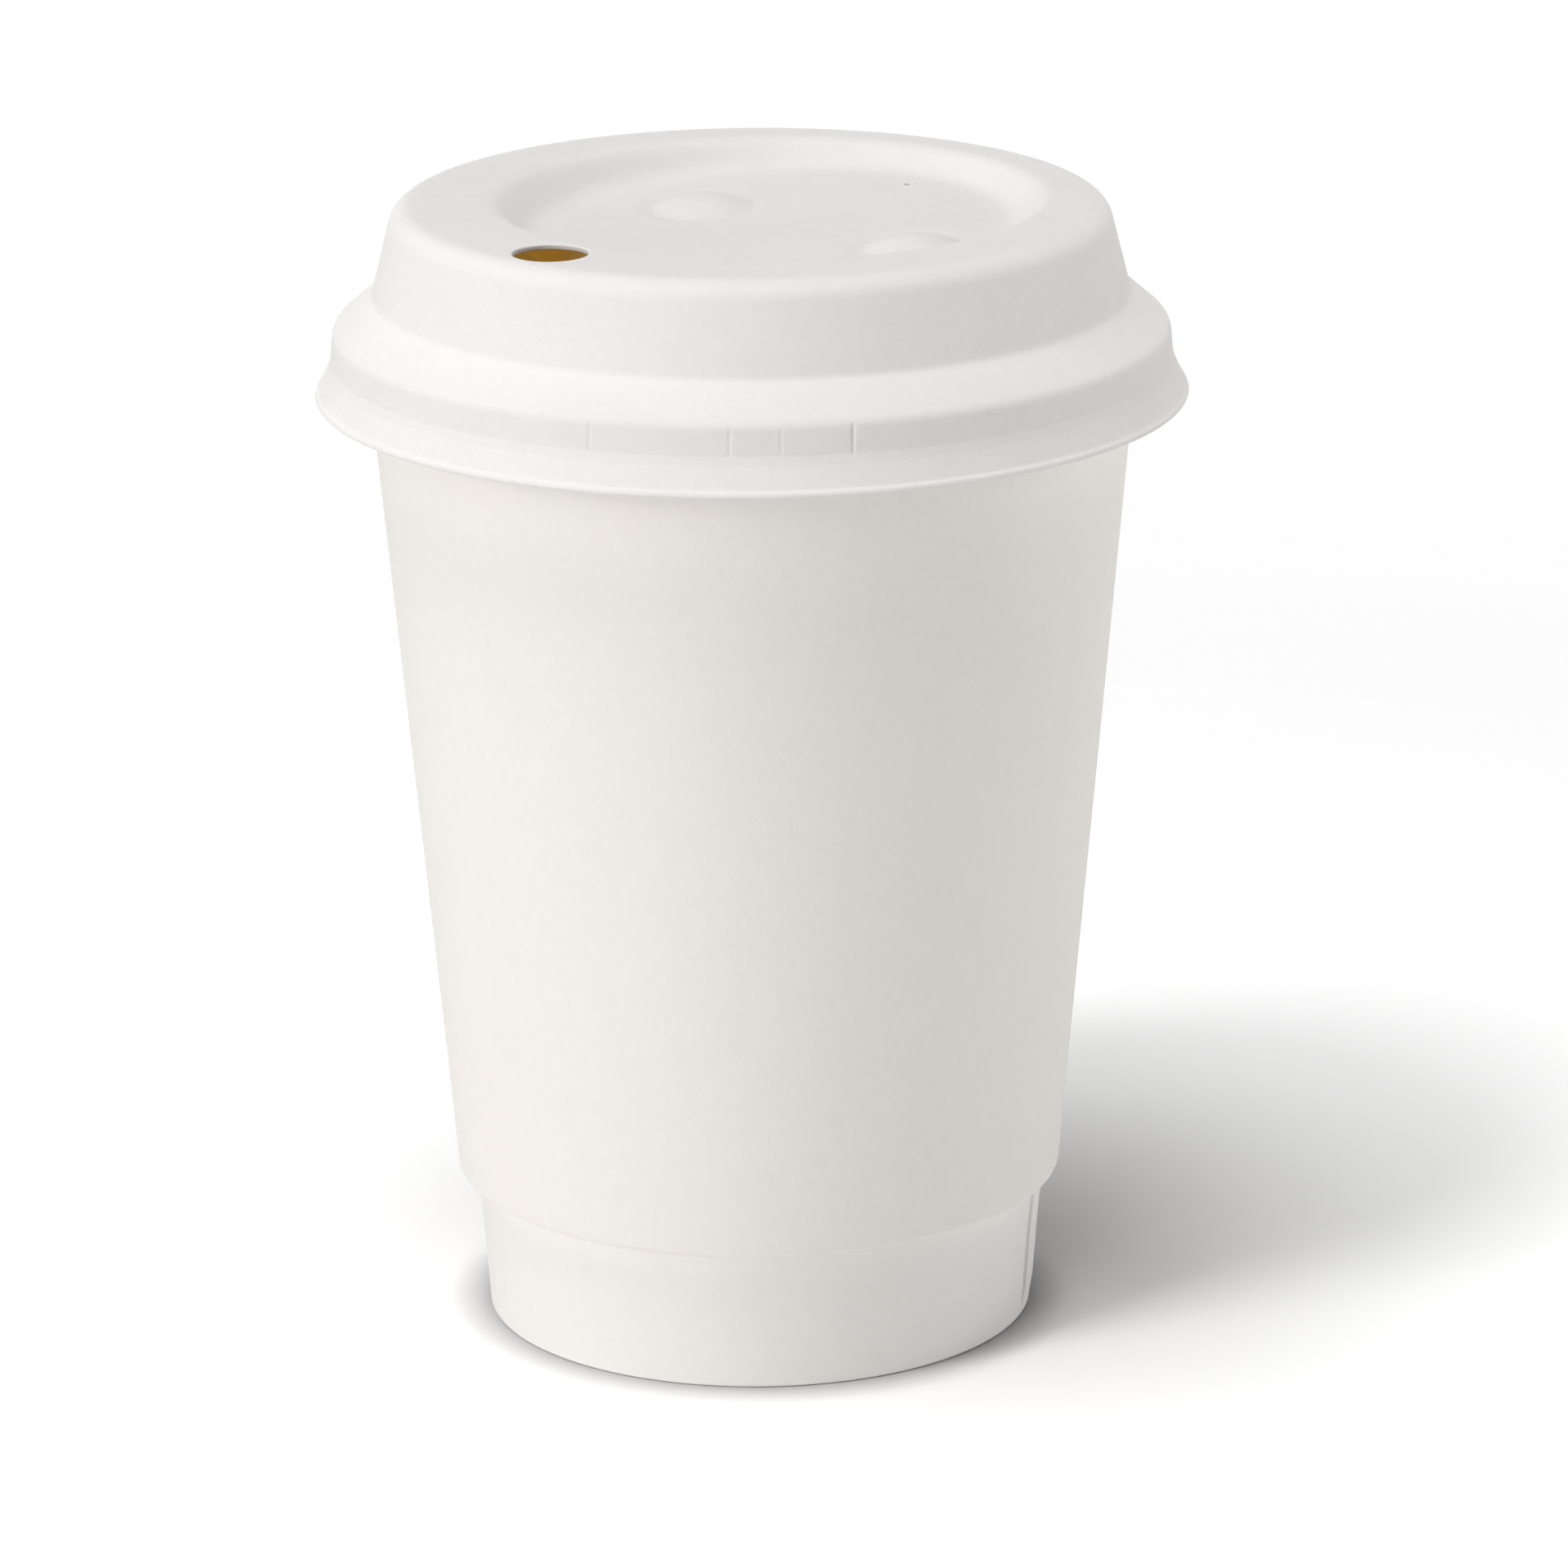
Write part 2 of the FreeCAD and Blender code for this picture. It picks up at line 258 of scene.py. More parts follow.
def run_points(start, end):
    """Evenly spaced points between two ends, and one held close to each end."""
    length = np.linalg.norm(end - start)
    hold = min(RUN_HOLD, 0.2 * length)
    count = max(2, math.ceil((length - 2 * hold) / RUN_STEP) + 1)
    shares = np.linspace(hold / length, 1 - hold / length, count)
    return start + shares[:, None] * (end - start)


def rounded(corners):
    """Outline through (r, z, round) corners: straight runs joined by tangent arcs."""
    stretches = [np.array([corners[0][:2]], float)]
    for before, corner, after in zip(corners, corners[1:], corners[2:]):
        stretches.append(corner_points(before, corner, after))
    stretches.append(np.array([corners[-1][:2]], float))
    points = [stretches[0]]
    for last, following in zip(stretches, stretches[1:]):
        if np.linalg.norm(following[0] - last[-1]) > SAME_POINT:
            points.append(run_points(last[-1], following[0]))
        points.append(following)
    return np.vstack(points)


def inset(corners, depth):
    """The same outline moved by depth to the left of its direction, with rounds kept concentric."""
    moved = []
    for (r0, z0, _), (r1, z1, _) in zip(corners, corners[1:]):
        length = math.hypot(r1 - r0, z1 - z0)
        nr = -(z1 - z0) / length * depth
        nz = (r1 - r0) / length * depth
        moved.append(((r0 + nr, z0 + nz), (r1 + nr, z1 + nz)))
    result = [(*moved[0][0], 0)]
    for first, second, corner in zip(moved, moved[1:], corners[1:]):
        (ar, az), (br, bz) = first
        (cr, cz), (dr, dz) = second
        cross = (br - ar) * (dz - cz) - (bz - az) * (dr - cr)
        share = ((cr - ar) * (dz - cz) - (cz - az) * (dr - cr)) / cross
        rounding = max(corner[2] - math.copysign(depth, cross), LEAST_ROUND)
        result.append((along(ar, br, share), along(az, bz, share), rounding))
    result.append((*moved[-1][1], 0))
    return result


def azimuths(count, windows=()):
    """Even azimuths round the circle, where each window's own finer ones take their place."""
    even = np.arange(count) * 2 * math.pi / count - math.pi
    fine = []
    for window in windows:
        window = (np.asarray(window) + math.pi) % (2 * math.pi) - math.pi
        even = even[(even < window.min()) | (even > window.max())]
        fine.append(window)
    merged = np.sort(np.concatenate([even, *fine]))
    apart = np.diff(merged, append=merged[0] + 2 * math.pi)
    return merged[apart > LEAST_TURN]


def carried_round(section, turns):
    """Rows of points (r cos a, r sin a, z), one row for each point of the section."""
    r = section[:, 0][:, None]
    z = np.broadcast_to(section[:, 1][:, None], (len(section), len(turns)))
    return np.stack([r * np.cos(turns), r * np.sin(turns), z], axis=-1)


def pushed_out(rows, distance):
    """Moves each point away from the Z axis by its own distance."""
    radius = np.hypot(rows[..., 0], rows[..., 1])
    scale = 1 + distance / np.maximum(radius, MM)
    return np.stack([rows[..., 0] * scale, rows[..., 1] * scale, rows[..., 2]], axis=-1)


def strip_faces(numbers):
    """Quads between neighbouring rows of vertex numbers, each row closed on itself."""
    ahead = np.roll(numbers, -1, axis=1)
    quads = np.stack([numbers[:-1], ahead[:-1], ahead[1:], numbers[1:]], axis=-1)
    return quads.reshape(-1, 4)


def fan_faces(row, pole, outward):
    """Triangles from a closed row to a pole."""
    ahead = np.roll(row, -1)
    tip = np.full(len(row), pole)
    order = [row, ahead, tip] if outward else [ahead, row, tip]
    return np.stack(order, axis=-1)


def ring_shell(rows):
    """Closed band of quads: the last row joins the first."""
    count, width = rows.shape[:2]
    numbers = np.arange(count * width).reshape(count, width)
    numbers = np.vstack([numbers, numbers[:1]])
    return rows.reshape(-1, 3), strip_faces(numbers), np.empty((0, 3), int)


def seam_lift(turns, azimuth, width, radius, side):
    """Share of a seam's rise at each azimuth: a step, a level crest, then a smooth fall to nothing.

    With w the way across the seam, 0 to 1 anticlockwise, and c = crest * (1 - w) kept within 0 and
    1, the share is c * c * (3 - 2 * c). On the inside (side -1) w runs the other way.
    """
    from_edge = (turns - math.radians(azimuth) + math.pi) % (2 * math.pi) - math.pi
    way = from_edge * radius / width
    within = np.abs(way - 0.5) < 0.5 + 1e-6
    way = way if side > 0 else 1 - way
    climb = np.clip(seam_crest * (1 - way), 0, 1)
    return np.where(within, climb * climb * (3 - 2 * climb), 0)


def seam_fade(height):
    """Share of the seam's rise near the foot, where the fold is pressed flat: 0 to 1 going up."""
    return np.clip((height - seam_fade_low) / (seam_fade_high - seam_fade_low), 0, 1)


def seam_window(azimuth, width, radius):
    """Azimuths of a seam: close together at its two steps, and a few between."""
    edge = math.radians(azimuth)
    far = edge + width / radius
    hair = seam_hair / radius
    between = np.linspace(edge + 4 * hair, far - 4 * hair, 16)
    return np.concatenate([[edge - 5 * hair, edge - hair, edge], between,
                           [far, far + hair, far + 5 * hair]])


def sway(rows, waves, seed):
    """Slow uneven swell of a board round the cup, -1 to 1.

    It is the mean of cos(n a + p + sin(40 z + q)) over the whole numbers n of waves, with p and q
    drawn once for each n.
    """
    random = np.random.default_rng(seed)
    turns = np.arctan2(rows[..., 1], rows[..., 0])
    total = np.zeros(rows.shape[:2])
    for wave in waves:
        phase, lean = random.uniform(0, 2 * math.pi, 2)
        total += np.cos(wave * turns + phase + np.sin(rows[..., 2] * 40 + lean))
    return total / len(waves)


def inner_cup_shell():
    """Folded foot, wall, rolled rim and side seam of the inner cup.

    The section goes up the outside, round the inside of the roll, back round its outside, down the
    inside, and round the slot that holds the base's skirt. The seam adds its lift to the radius.
    """
    centre = (rim_radius - curl_radius, curl_height)
    slot = cup_board + 2 * glue_line
    fold_inside = 2 * cup_board + slot
    fold_foot = (foot_radius - fold_inside / 2, 0, 0)
    outside = rounded([
        fold_foot,
        (foot_radius, 0, foot_edge_round),
        (knee_radius, knee_height, knee_round),
        (wall_top_radius, curl_height, 0),
    ])
    start = math.pi
    end = math.pi - math.radians(curl_turn)
    roll_inside = arc(centre, curl_radius - cup_board, start, end)[1:]
    roll_outside = arc(centre, curl_radius, end, start)
    inside = rounded([
        (wall_top_radius - cup_board, curl_height, 0),
        (knee_radius - cup_board, knee_height, knee_round),
        (wall_radius(cup_board) - cup_board, cup_board, cut_edge_round),
        (wall_radius(cup_board) - cup_board - slot, cup_board, cut_edge_round),
        (wall_radius(foot_fold_height) - cup_board - slot, foot_fold_height, cut_edge_round),
        (wall_radius(foot_fold_height) - fold_inside, foot_fold_height, cut_edge_round),
        (foot_radius - fold_inside, 0, foot_edge_round),
        fold_foot,
    ])[1:-1]
    section = np.vstack([outside, roll_inside, roll_outside, inside])
    turns = azimuths(CUP_TURNS, [seam_window(seam_azimuth, seam_width, foot_radius)])
    rows = carried_round(section, turns)
    height = section[:, 1]
    part = np.repeat([0, 1, 2], [len(outside), len(roll_inside) + len(roll_outside), len(inside)])
    lift = seam_lift(turns, seam_azimuth, seam_width, foot_radius, 1)
    share = np.clip((height - knee_height) / (curl_height - knee_height), 0, 1)
    rise = along(seam_rise_foot, seam_rise_rim, share) * (part == 0) * seam_fade(height)
    rows = pushed_out(rows, lift * rise[:, None])
    inner_lift = seam_lift(turns, seam_azimuth, seam_width, foot_radius, -1)
    lined = (part == 2) & (height > base_top + glue_line)
    rows = pushed_out(rows, -inner_lift * (seam_rise_inside * lined)[:, None])
    return ring_shell(rows)


def base_disc_shell():
    """Disc with its skirt: a section from the axis, down the skirt and back, and two poles."""
    reach = cup_board + glue_line
    low = cup_board + skirt_foot_gap
    under = base_top - cup_board
    section = rounded([
        (base_pole_ring, under, 0),
        (wall_radius(under) - reach - cup_board, under, base_bend - cup_board),
        (wall_radius(low) - reach - cup_board, low, cut_edge_round),
        (wall_radius(low) - reach, low, cut_edge_round),
        (wall_radius(base_top) - reach, base_top, base_bend),
        (base_pole_ring, base_top, 0),
    ])
    rows = carried_round(section, azimuths(BASE_TURNS))
    count, width = rows.shape[:2]
    numbers = np.arange(count * width).reshape(count, width)
    points = np.vstack([rows.reshape(-1, 3), [(0, 0, under)], [(0, 0, base_top)]])
    fans = np.vstack([fan_faces(numbers[0], count * width, False),
                      fan_faces(numbers[-1], count * width + 1, True)])
    return points, strip_faces(numbers), fans


def outer_jacket_shell():
    """Cone of the jacket with its turned-in lower edge, its seam, and a slow swell of the board.

    Its radius grows evenly with height. The section goes from the turned-in edge out and up the
    outside, then down the inside and back in.
    """
    def radius_at(z):
        top_radius = wall_radius(jacket_top_height) + glue_line + jacket_board
        share = (z - jacket_foot_height) / (jacket_top_height - jacket_foot_height)
        return along(jacket_foot_radius, float(top_radius), share)

    seat = float(wall_radius(jacket_foot_height)) + glue_line
    inner_low = jacket_foot_height + jacket_board
    low_middle = (seat, jacket_foot_height + jacket_board / 2, 0)
    outside = rounded([
        low_middle,
        (seat, jacket_foot_height, cut_edge_round),
        (jacket_foot_radius, jacket_foot_height, jacket_hem_round),
        (radius_at(jacket_top_height), jacket_top_height, cut_edge_round),
        (radius_at(jacket_top_height) - jacket_board / 2, jacket_top_height, 0),
    ])
    inside = rounded([
        (radius_at(jacket_top_height) - jacket_board / 2, jacket_top_height, 0),
        (radius_at(jacket_top_height) - jacket_board, jacket_top_height, cut_edge_round),
        (radius_at(inner_low) - jacket_board, inner_low, jacket_hem_round - jacket_board),
        (seat, inner_low, cut_edge_round),
        low_middle,
    ])[1:-1]
    section = np.vstack([outside, inside])
    turns = azimuths(JACKET_TURNS, [
        seam_window(jacket_seam_azimuth, jacket_seam_width, jacket_foot_radius),
        seam_window(seam_azimuth, seam_width, foot_radius),
    ])
    rows = carried_round(section, turns)
    lift = seam_lift(turns, jacket_seam_azimuth, jacket_seam_width, jacket_foot_radius, 1)
    shown = (np.arange(len(section)) < len(outside)) & (section[:, 0] > seat + jacket_hem_round / 2)
    rows = pushed_out(rows, lift * (jacket_seam_rise * shown)[:, None])
    # The board swells freely between its two glued edges
    share = (section[:, 1] - jacket_foot_height) / (jacket_top_height - jacket_foot_height)
    free = np.sin(math.pi * np.clip(share, 0, 1)) ** 0.5
    rows = pushed_out(rows, jacket_sway * sway(rows, jacket_waves, 4) * free[:, None])
    # The turned-in edge is pressed round the inner cup's seam
    seam_share = seam_lift(turns, seam_azimuth, seam_width, foot_radius, 1)
    touching = section[:, 0] < seat + jacket_pressed
    rows = pushed_out(rows, seam_share * (seam_rise_foot * touching)[:, None])
    return ring_shell(rows)


def lid_corners():
    """Outside of the lid from its lower edge up to the edge of its deck."""
    band_radius = rim_radius + snap_clearance + lid_wall
    crown_height = deck_height - lid_foot_height - (lip_height + flare_height + ledge_height
                                                    + band_height + shoulder_height)
    heights = lid_foot_height + np.cumsum([0, lip_height, flare_height, ledge_height, band_height,
                                           shoulder_height, crown_height])
    return [
        (hem_radius, heights[0], lip_edge_round),
        (hem_radius, heights[0] + lip_upright, lid_soft_round),
        (flare_low_radius, heights[1], lid_soft_round),
        (band_radius + band_draft + ledge_step, heights[2], lid_soft_round),
        (band_radius + band_draft, heights[3], lid_soft_round),
        (band_radius - band_draft, heights[4], shoulder_round),
        (crown_foot_radius, heights[5], crown_foot_round),
        (crown_top_radius, deck_height, crown_edge_round),
    ]


def crown_bend():
    """Radius at which the flat deck ends, from the crown's slope and the round of its edge."""
    _, (r0, z0, _), (r1, z1, _) = lid_corners()[-3:]
    slope = math.atan2(z1 - z0, r0 - r1)
    return crown_top_radius - crown_edge_round * math.tan(slope / 2)


def bend(x, before, after, radius):
    """Height of a path through the origin at slope before, then after, its corner cut by a circle.

    With a and b the angles of the slopes, the circle touches the path at radius * tan(|b - a| / 2)
    from the corner, and between those points the height is the circle's own.
    """
    a = np.arctan(before)
    b = np.arctan(after)
    side = np.sign(b - a)
    reach = radius * np.tan(np.abs(b - a) / 2)
    centre_x = -reach * np.cos(a) - side * radius * np.sin(a)
    centre_z = -reach * np.sin(a) + side * radius * np.cos(a)
    circle = centre_z - side * np.sqrt(np.clip(radius ** 2 - (x - centre_x) ** 2, 0, None))
    straight = np.where(x < 0, before * x, after * x)
    on_circle = (x > -reach * np.cos(a)) & (x < reach * np.cos(b))
    return np.where(on_circle, circle, straight)


def button_relief(x, y):
    """Height of the two buttons: each a cap 1 - share ** 2, softened at its rim, in a groove.

    The share is the distance from the middle over the radius. The softened rim runs out from a
    share of 1.5 to one of 2.5.
    """
    relief = np.zeros_like(x)
    for radius, azimuth in button_places:
        angle = math.radians(azimuth)
        away = np.hypot(x - radius * math.cos(angle), y - radius * math.sin(angle))
        cap = 1 - (away / button_radius) ** 2
        cap = (cap + np.sqrt(cap ** 2 + button_softness ** 2)) / 2
        cap *= np.clip(2.5 - away / button_radius, 0, 1)
        groove = np.exp(-((away - groove_radius) / groove_width) ** 2)
        relief += button_height * cap - groove_depth * groove
    return relief


def deck_surface(x, y, depth):
    """Height of the lid's top over a point of its plan, depth inside its outer face.

    Along a ray from the recess's centre the height follows three runs, deck, wall and tilted
    floor, joined by two bends. Outside the deck it falls along the circle of the crown's edge.
    """
    axis = math.radians(lid_axis_azimuth)
    slope = math.radians(recess_wall_slope)
    fall = math.tan(math.radians(recess_fall))
    cx = x - recess_offset * math.cos(axis)
    cy = y - recess_offset * math.sin(axis)
    away = np.maximum(np.hypot(cx, cy), 1e-9)
    tilt = fall * (cx * math.cos(axis) + cy * math.sin(axis)) / away
    wall = math.tan(slope)
    floor = deck_height - recess_depth - depth / math.cos(math.radians(recess_fall))
    floor = floor + fall * recess_offset
    foot_of_wall = recess_radius + depth / math.sin(slope)
    high_corner = foot_of_wall - depth / wall
    low_corner = (floor - deck_height + wall * foot_of_wall) / (wall - tilt)
    wall_height = deck_height - wall * (foot_of_wall - away)
    high = bend(away - high_corner, wall, 0.0, recess_rim_round - depth)
    low = bend(away - low_corner, tilt, wall, recess_floor_round + depth)
    height = wall_height + high - wall * (away - high_corner) + low - wall * (away - low_corner)
    height = height + button_relief(x, y)
    beyond = np.clip(np.hypot(x, y) - crown_bend(), 0, None)
    round_here = crown_edge_round - depth
    return height - round_here + np.sqrt(np.clip(round_here ** 2 - beyond ** 2, 0, None))


def deck_rings():
    """Centre shift (0 to 1) and radius of each ring of the deck, from its edge to the recess.

    The first rings move the centre over. Then come rings at one step down the recess's wall, and
    evenly spaced ones over its floor.
    """
    edge = crown_bend()
    shares = np.linspace(0, 1, EDGE_RINGS)
    outer = np.column_stack([shares, along(edge, recess_reach, shares)])
    wall = np.arange(recess_reach - WALL_RING_STEP, WALL_RINGS_END, -WALL_RING_STEP)
    floor = np.linspace(wall[-1] - FLOOR_RING_STEP, FLOOR_RING_STEP, FLOOR_RINGS)
    inner = np.concatenate([wall, floor])
    return np.vstack([outer[1:], np.column_stack([np.ones(len(inner)), inner])])


def deck_rows(turns, depth):
    """Rows of the deck and recess: circles whose centre moves from the lid's to the recess's."""
    shift, radius = deck_rings().T
    axis = math.radians(lid_axis_azimuth)
    x = shift[:, None] * recess_offset * math.cos(axis) + radius[:, None] * np.cos(turns)
    y = shift[:, None] * recess_offset * math.sin(axis) + radius[:, None] * np.sin(turns)
    return np.stack([x, y, deck_surface(x, y, depth)], axis=-1)


def crease_depth(turns, height):
    """Depth of the band's creases: a narrow bell across each, fading out at the band's two ends."""
    low = lid_foot_height + lip_height + flare_height + ledge_height
    share = (height - low) / band_height
    ends = np.clip(4 * (share + 0.12), 0, 1) * np.clip(4 * (1.02 - share), 0, 1)
    total = np.zeros((len(height), len(turns)))
    for azimuth, depth in band_creases:
        across = (turns - math.radians(azimuth)) * (rim_radius + lid_wall)
        total += depth * np.exp(-(across / crease_width) ** 2) * ends[:, None]
    return total


def lid_azimuths():
    """Even azimuths, finer at the creases, the sip hole and the vent."""
    windows = []
    offsets = np.array([-3, -2, -1.3, -0.7, 0, 0.7, 1.3, 2, 3]) * crease_width / rim_radius
    for azimuth, _ in band_creases:
        windows.append(math.radians(azimuth) + offsets)
    for azimuth, (half, count) in ((lid_axis_azimuth - 180, SIP_TURNS),
                                   (lid_axis_azimuth, VENT_TURNS)):
        windows.append(math.radians(azimuth) + np.radians(np.linspace(-half, half, count)))
    return azimuths(LID_TURNS, windows)


def block_border(block):
    """Vertex numbers round a block of the grid, anticlockwise seen from outside."""
    return np.concatenate([block[0, :-1], block[:-1, -1], block[-1, :0:-1], block[:0:-1, 0]])


def hole_rows(border, centre, bore, depth):
    """Rows from a border on one face of the lid to the middle of a round hole's wall.

    In plan they go straight from the border to the hole's edge, then down the quarter circle of
    its lip. The heights come from the deck's surface.
    """
    angle = np.arctan2(border[:, 1] - centre[1], border[:, 0] - centre[0])
    ray = np.column_stack([np.cos(angle), np.sin(angle)])
    edge = centre + ray * (bore / 2 + hole_lip_round)
    shares = np.array([0.35, 0.65, 0.85, 1.0])[:, None, None]
    flat = border[None, :, :2] + shares * (edge - border[:, :2])[None]
    flat_height = deck_surface(flat[..., 0], flat[..., 1], depth)
    bends = np.linspace(0, math.pi / 2, 6)[1:]
    lip = edge[None] - ray[None] * (hole_lip_round * np.sin(bends))[:, None, None]
    fall = hole_lip_round * (1 - np.cos(bends))[:, None]
    sense = 1 if depth == 0 else -1
    lip_heights = deck_surface(edge[:, 0], edge[:, 1], depth)[None] - sense * fall
    plan = np.concatenate([flat, lip])
    height = np.concatenate([flat_height, lip_heights])
    return np.concatenate([plan, height[..., None]], axis=-1)


def pierce(points, grid, faces, azimuth, radius, reach, bore):
    """Takes a block of quads out of the lid's top and underside and fits the hole's wall there.

    The block holds the rows within reach of the hole's centre along the ray from the lid's centre
    through it, and the columns within reach of it across that ray.
    """
    angle = math.radians(azimuth)
    centre = radius * np.array([math.cos(angle), math.sin(angle)])
    rows_outwards = grid[-1:-len(deck_rings()) - 4:-1]
    plan = points[rows_outwards][..., :2] - centre
    near = np.abs(plan).max(axis=-1) < 3 * reach
    out = plan @ (centre / radius)
    across = plan @ np.array([-math.sin(angle), math.cos(angle)])
    away = np.where(near, np.hypot(out, across), 1)
    middle, column = np.unravel_index(np.argmin(away), away.shape)
    inside_rows = np.flatnonzero(np.abs(out[:, column]) < reach)
    inside_columns = np.flatnonzero((np.abs(across[middle]) < reach) & near[middle])
    low, high = inside_rows.min(), inside_rows.max()
    left, right = inside_columns.min(), inside_columns.max()
    top = grid[::-1][low:high + 1, left:right + 1]
    under = grid[low:high + 1, left:right + 1]
    kept = []
    for block in (top, under):
        filled = np.zeros(len(points) + 1, bool)
        filled[block] = True
        kept.append(~filled[faces].all(axis=1))
    faces = faces[kept[0] & kept[1]]
    # Anticlockwise seen from above: up the columns at the outer row, then inwards
    border_top = block_border(top[::-1])
    border_under = block_border(under[::-1])
    upper = hole_rows(points[border_top], centre, bore, 0.0)
    lower = hole_rows(points[border_under], centre, bore, lid_wall)[::-1]
    walls = np.concatenate([upper, lower])
    numbers = len(points) + np.arange(walls.shape[0] * walls.shape[1]).reshape(walls.shape[:2])
    strip = np.vstack([border_top, numbers, border_under])
    return np.vstack([points, walls.reshape(-1, 3)]), np.vstack([faces, strip_faces(strip)])


def lid_shell():
    """Pressed fibre shell of the lid.

    One run of rows goes from the middle of the underside out, down the inside, round the lip, up
    the outside and in to the middle of the deck. The sip hole and the vent are then cut in.
    """
    corners = lid_corners()
    lip_middle = (hem_radius - lid_wall / 2, lid_foot_height, 0)
    outside = rounded([lip_middle] + corners + [(crown_bend() - MM, deck_height, 0)])
    flare_slope = (corners[2][0] - corners[3][0]) / flare_height
    below = (corners[2][0] + flare_slope * (lip_height + lid_wall), lid_foot_height - lid_wall, 0)
    inside = inset([below] + corners[3:] + [(crown_bend() - MM, deck_height, 0)], lid_wall)
    (r0, z0, _), (r1, z1, _) = inside[:2]
    share = (lid_foot_height - z0) / (z1 - z0)
    foot = (along(r0, r1, share), lid_foot_height, lip_edge_round / 2)
    inside = rounded([lip_middle, foot] + inside[1:])
    end = crown_bend() + SAME_POINT
    outside = outside[(outside[:, 0] > end) | (outside[:, 1] < deck_height - MM)]
    inside = inside[(inside[:, 0] > end) | (inside[:, 1] < deck_height - lid_wall - MM)]
    turns = lid_azimuths()
    outer = carried_round(outside, turns)
    outer = pushed_out(outer, -crease_depth(turns, outside[:, 1]))
    inner = carried_round(inside[1:], turns)
    edge = np.array([[crown_bend(), deck_height]])
    edge_inner = np.array([[crown_bend(), deck_height - lid_wall]])
    outer = np.concatenate([outer, carried_round(edge, turns), deck_rows(turns, 0.0)])
    inner = np.concatenate([inner, carried_round(edge_inner, turns), deck_rows(turns, lid_wall)])
    rows = np.concatenate([inner[::-1], outer])
    count, width = rows.shape[:2]
    grid = np.arange(count * width).reshape(count, width)
    points = rows.reshape(-1, 3)
    faces = strip_faces(grid)
    points, faces = pierce(points, grid, faces, lid_axis_azimuth - 180, sip_radius,
                           sip_patch, sip_bore)
    points, faces = pierce(points, grid, faces, lid_axis_azimuth, vent_radius,
                           vent_patch, vent_bore)
    axis = math.radians(lid_axis_azimuth)
    middle = recess_offset * np.array([math.cos(axis), math.sin(axis)])
    poles = [(*middle, deck_surface(*middle[:, None], lid_wall)[0]),
             (*middle, deck_surface(*middle[:, None], 0.0)[0])]
    fans = np.vstack([fan_faces(grid[0], len(points), False),
                      fan_faces(grid[-1], len(points) + 1, True)])
    points = np.vstack([points, poles])
    # The points inside the two blocks have no face left
    used = np.unique(np.concatenate([faces.ravel(), fans.ravel()]))
    renumbered = np.full(len(points), -1)
    renumbered[used] = np.arange(len(used))
    return points[used], renumbered[faces], renumbered[fans]


# Materials begin here: shared texture first, then one function for each finish


def new_group(name, inputs, outputs):
    """Node group with named sockets: inputs are (name, kind, value), outputs (name, kind)."""
    group = bpy.data.node_groups.new(name, "ShaderNodeTree")
    for label, kind, value in inputs:
        socket = group.interface.new_socket(label, in_out="INPUT", socket_type=kind)
        if value is not None:
            socket.default_value = value
    for label, kind in outputs:
        group.interface.new_socket(label, in_out="OUTPUT", socket_type=kind)
    return group


def add_node(tree, kind, values=(), **settings):
    """Adds a node, sets its properties by name and its unlinked inputs by (socket, value)."""
    node = tree.nodes.new(kind)
    for name, value in settings.items():
        setattr(node, name, value)
    for socket, value in dict(values).items():
        node.inputs[socket].default_value = value
    return node


def remap(tree, value, low, high, new_low, new_high):
    """Value carried from the range low to high into the range new_low to new_high, kept inside."""
    node = add_node(tree, "ShaderNodeMapRange", {"From Min": low, "From Max": high,
                                                 "To Min": new_low, "To Max": new_high})
    tree.links.new(value, node.inputs["Value"])
    return node.outputs["Result"]


def calculate(tree, operation, first, second):
    """Maths node; either value may be a socket or a number."""
    node = add_node(tree, "ShaderNodeMath", operation=operation)
    for socket, value in zip(node.inputs, (first, second)):
        if isinstance(value, (int, float)):
            socket.default_value = value
        else:
            tree.links.new(value, socket)
    return node.outputs[0]


def mixed(tree, factor, first, second, blend_type="MIX"):
    """Colour mix; the factor and each colour may be a socket or a value."""
    node = add_node(tree, "ShaderNodeMix", data_type="RGBA", blend_type=blend_type)
    for socket, value in zip((node.inputs[0], node.inputs[6], node.inputs[7]),
                             (factor, first, second)):
        if isinstance(value, (int, float, tuple)):
            socket.default_value = value
        else:
            tree.links.new(value, socket)
    return node.outputs[2]


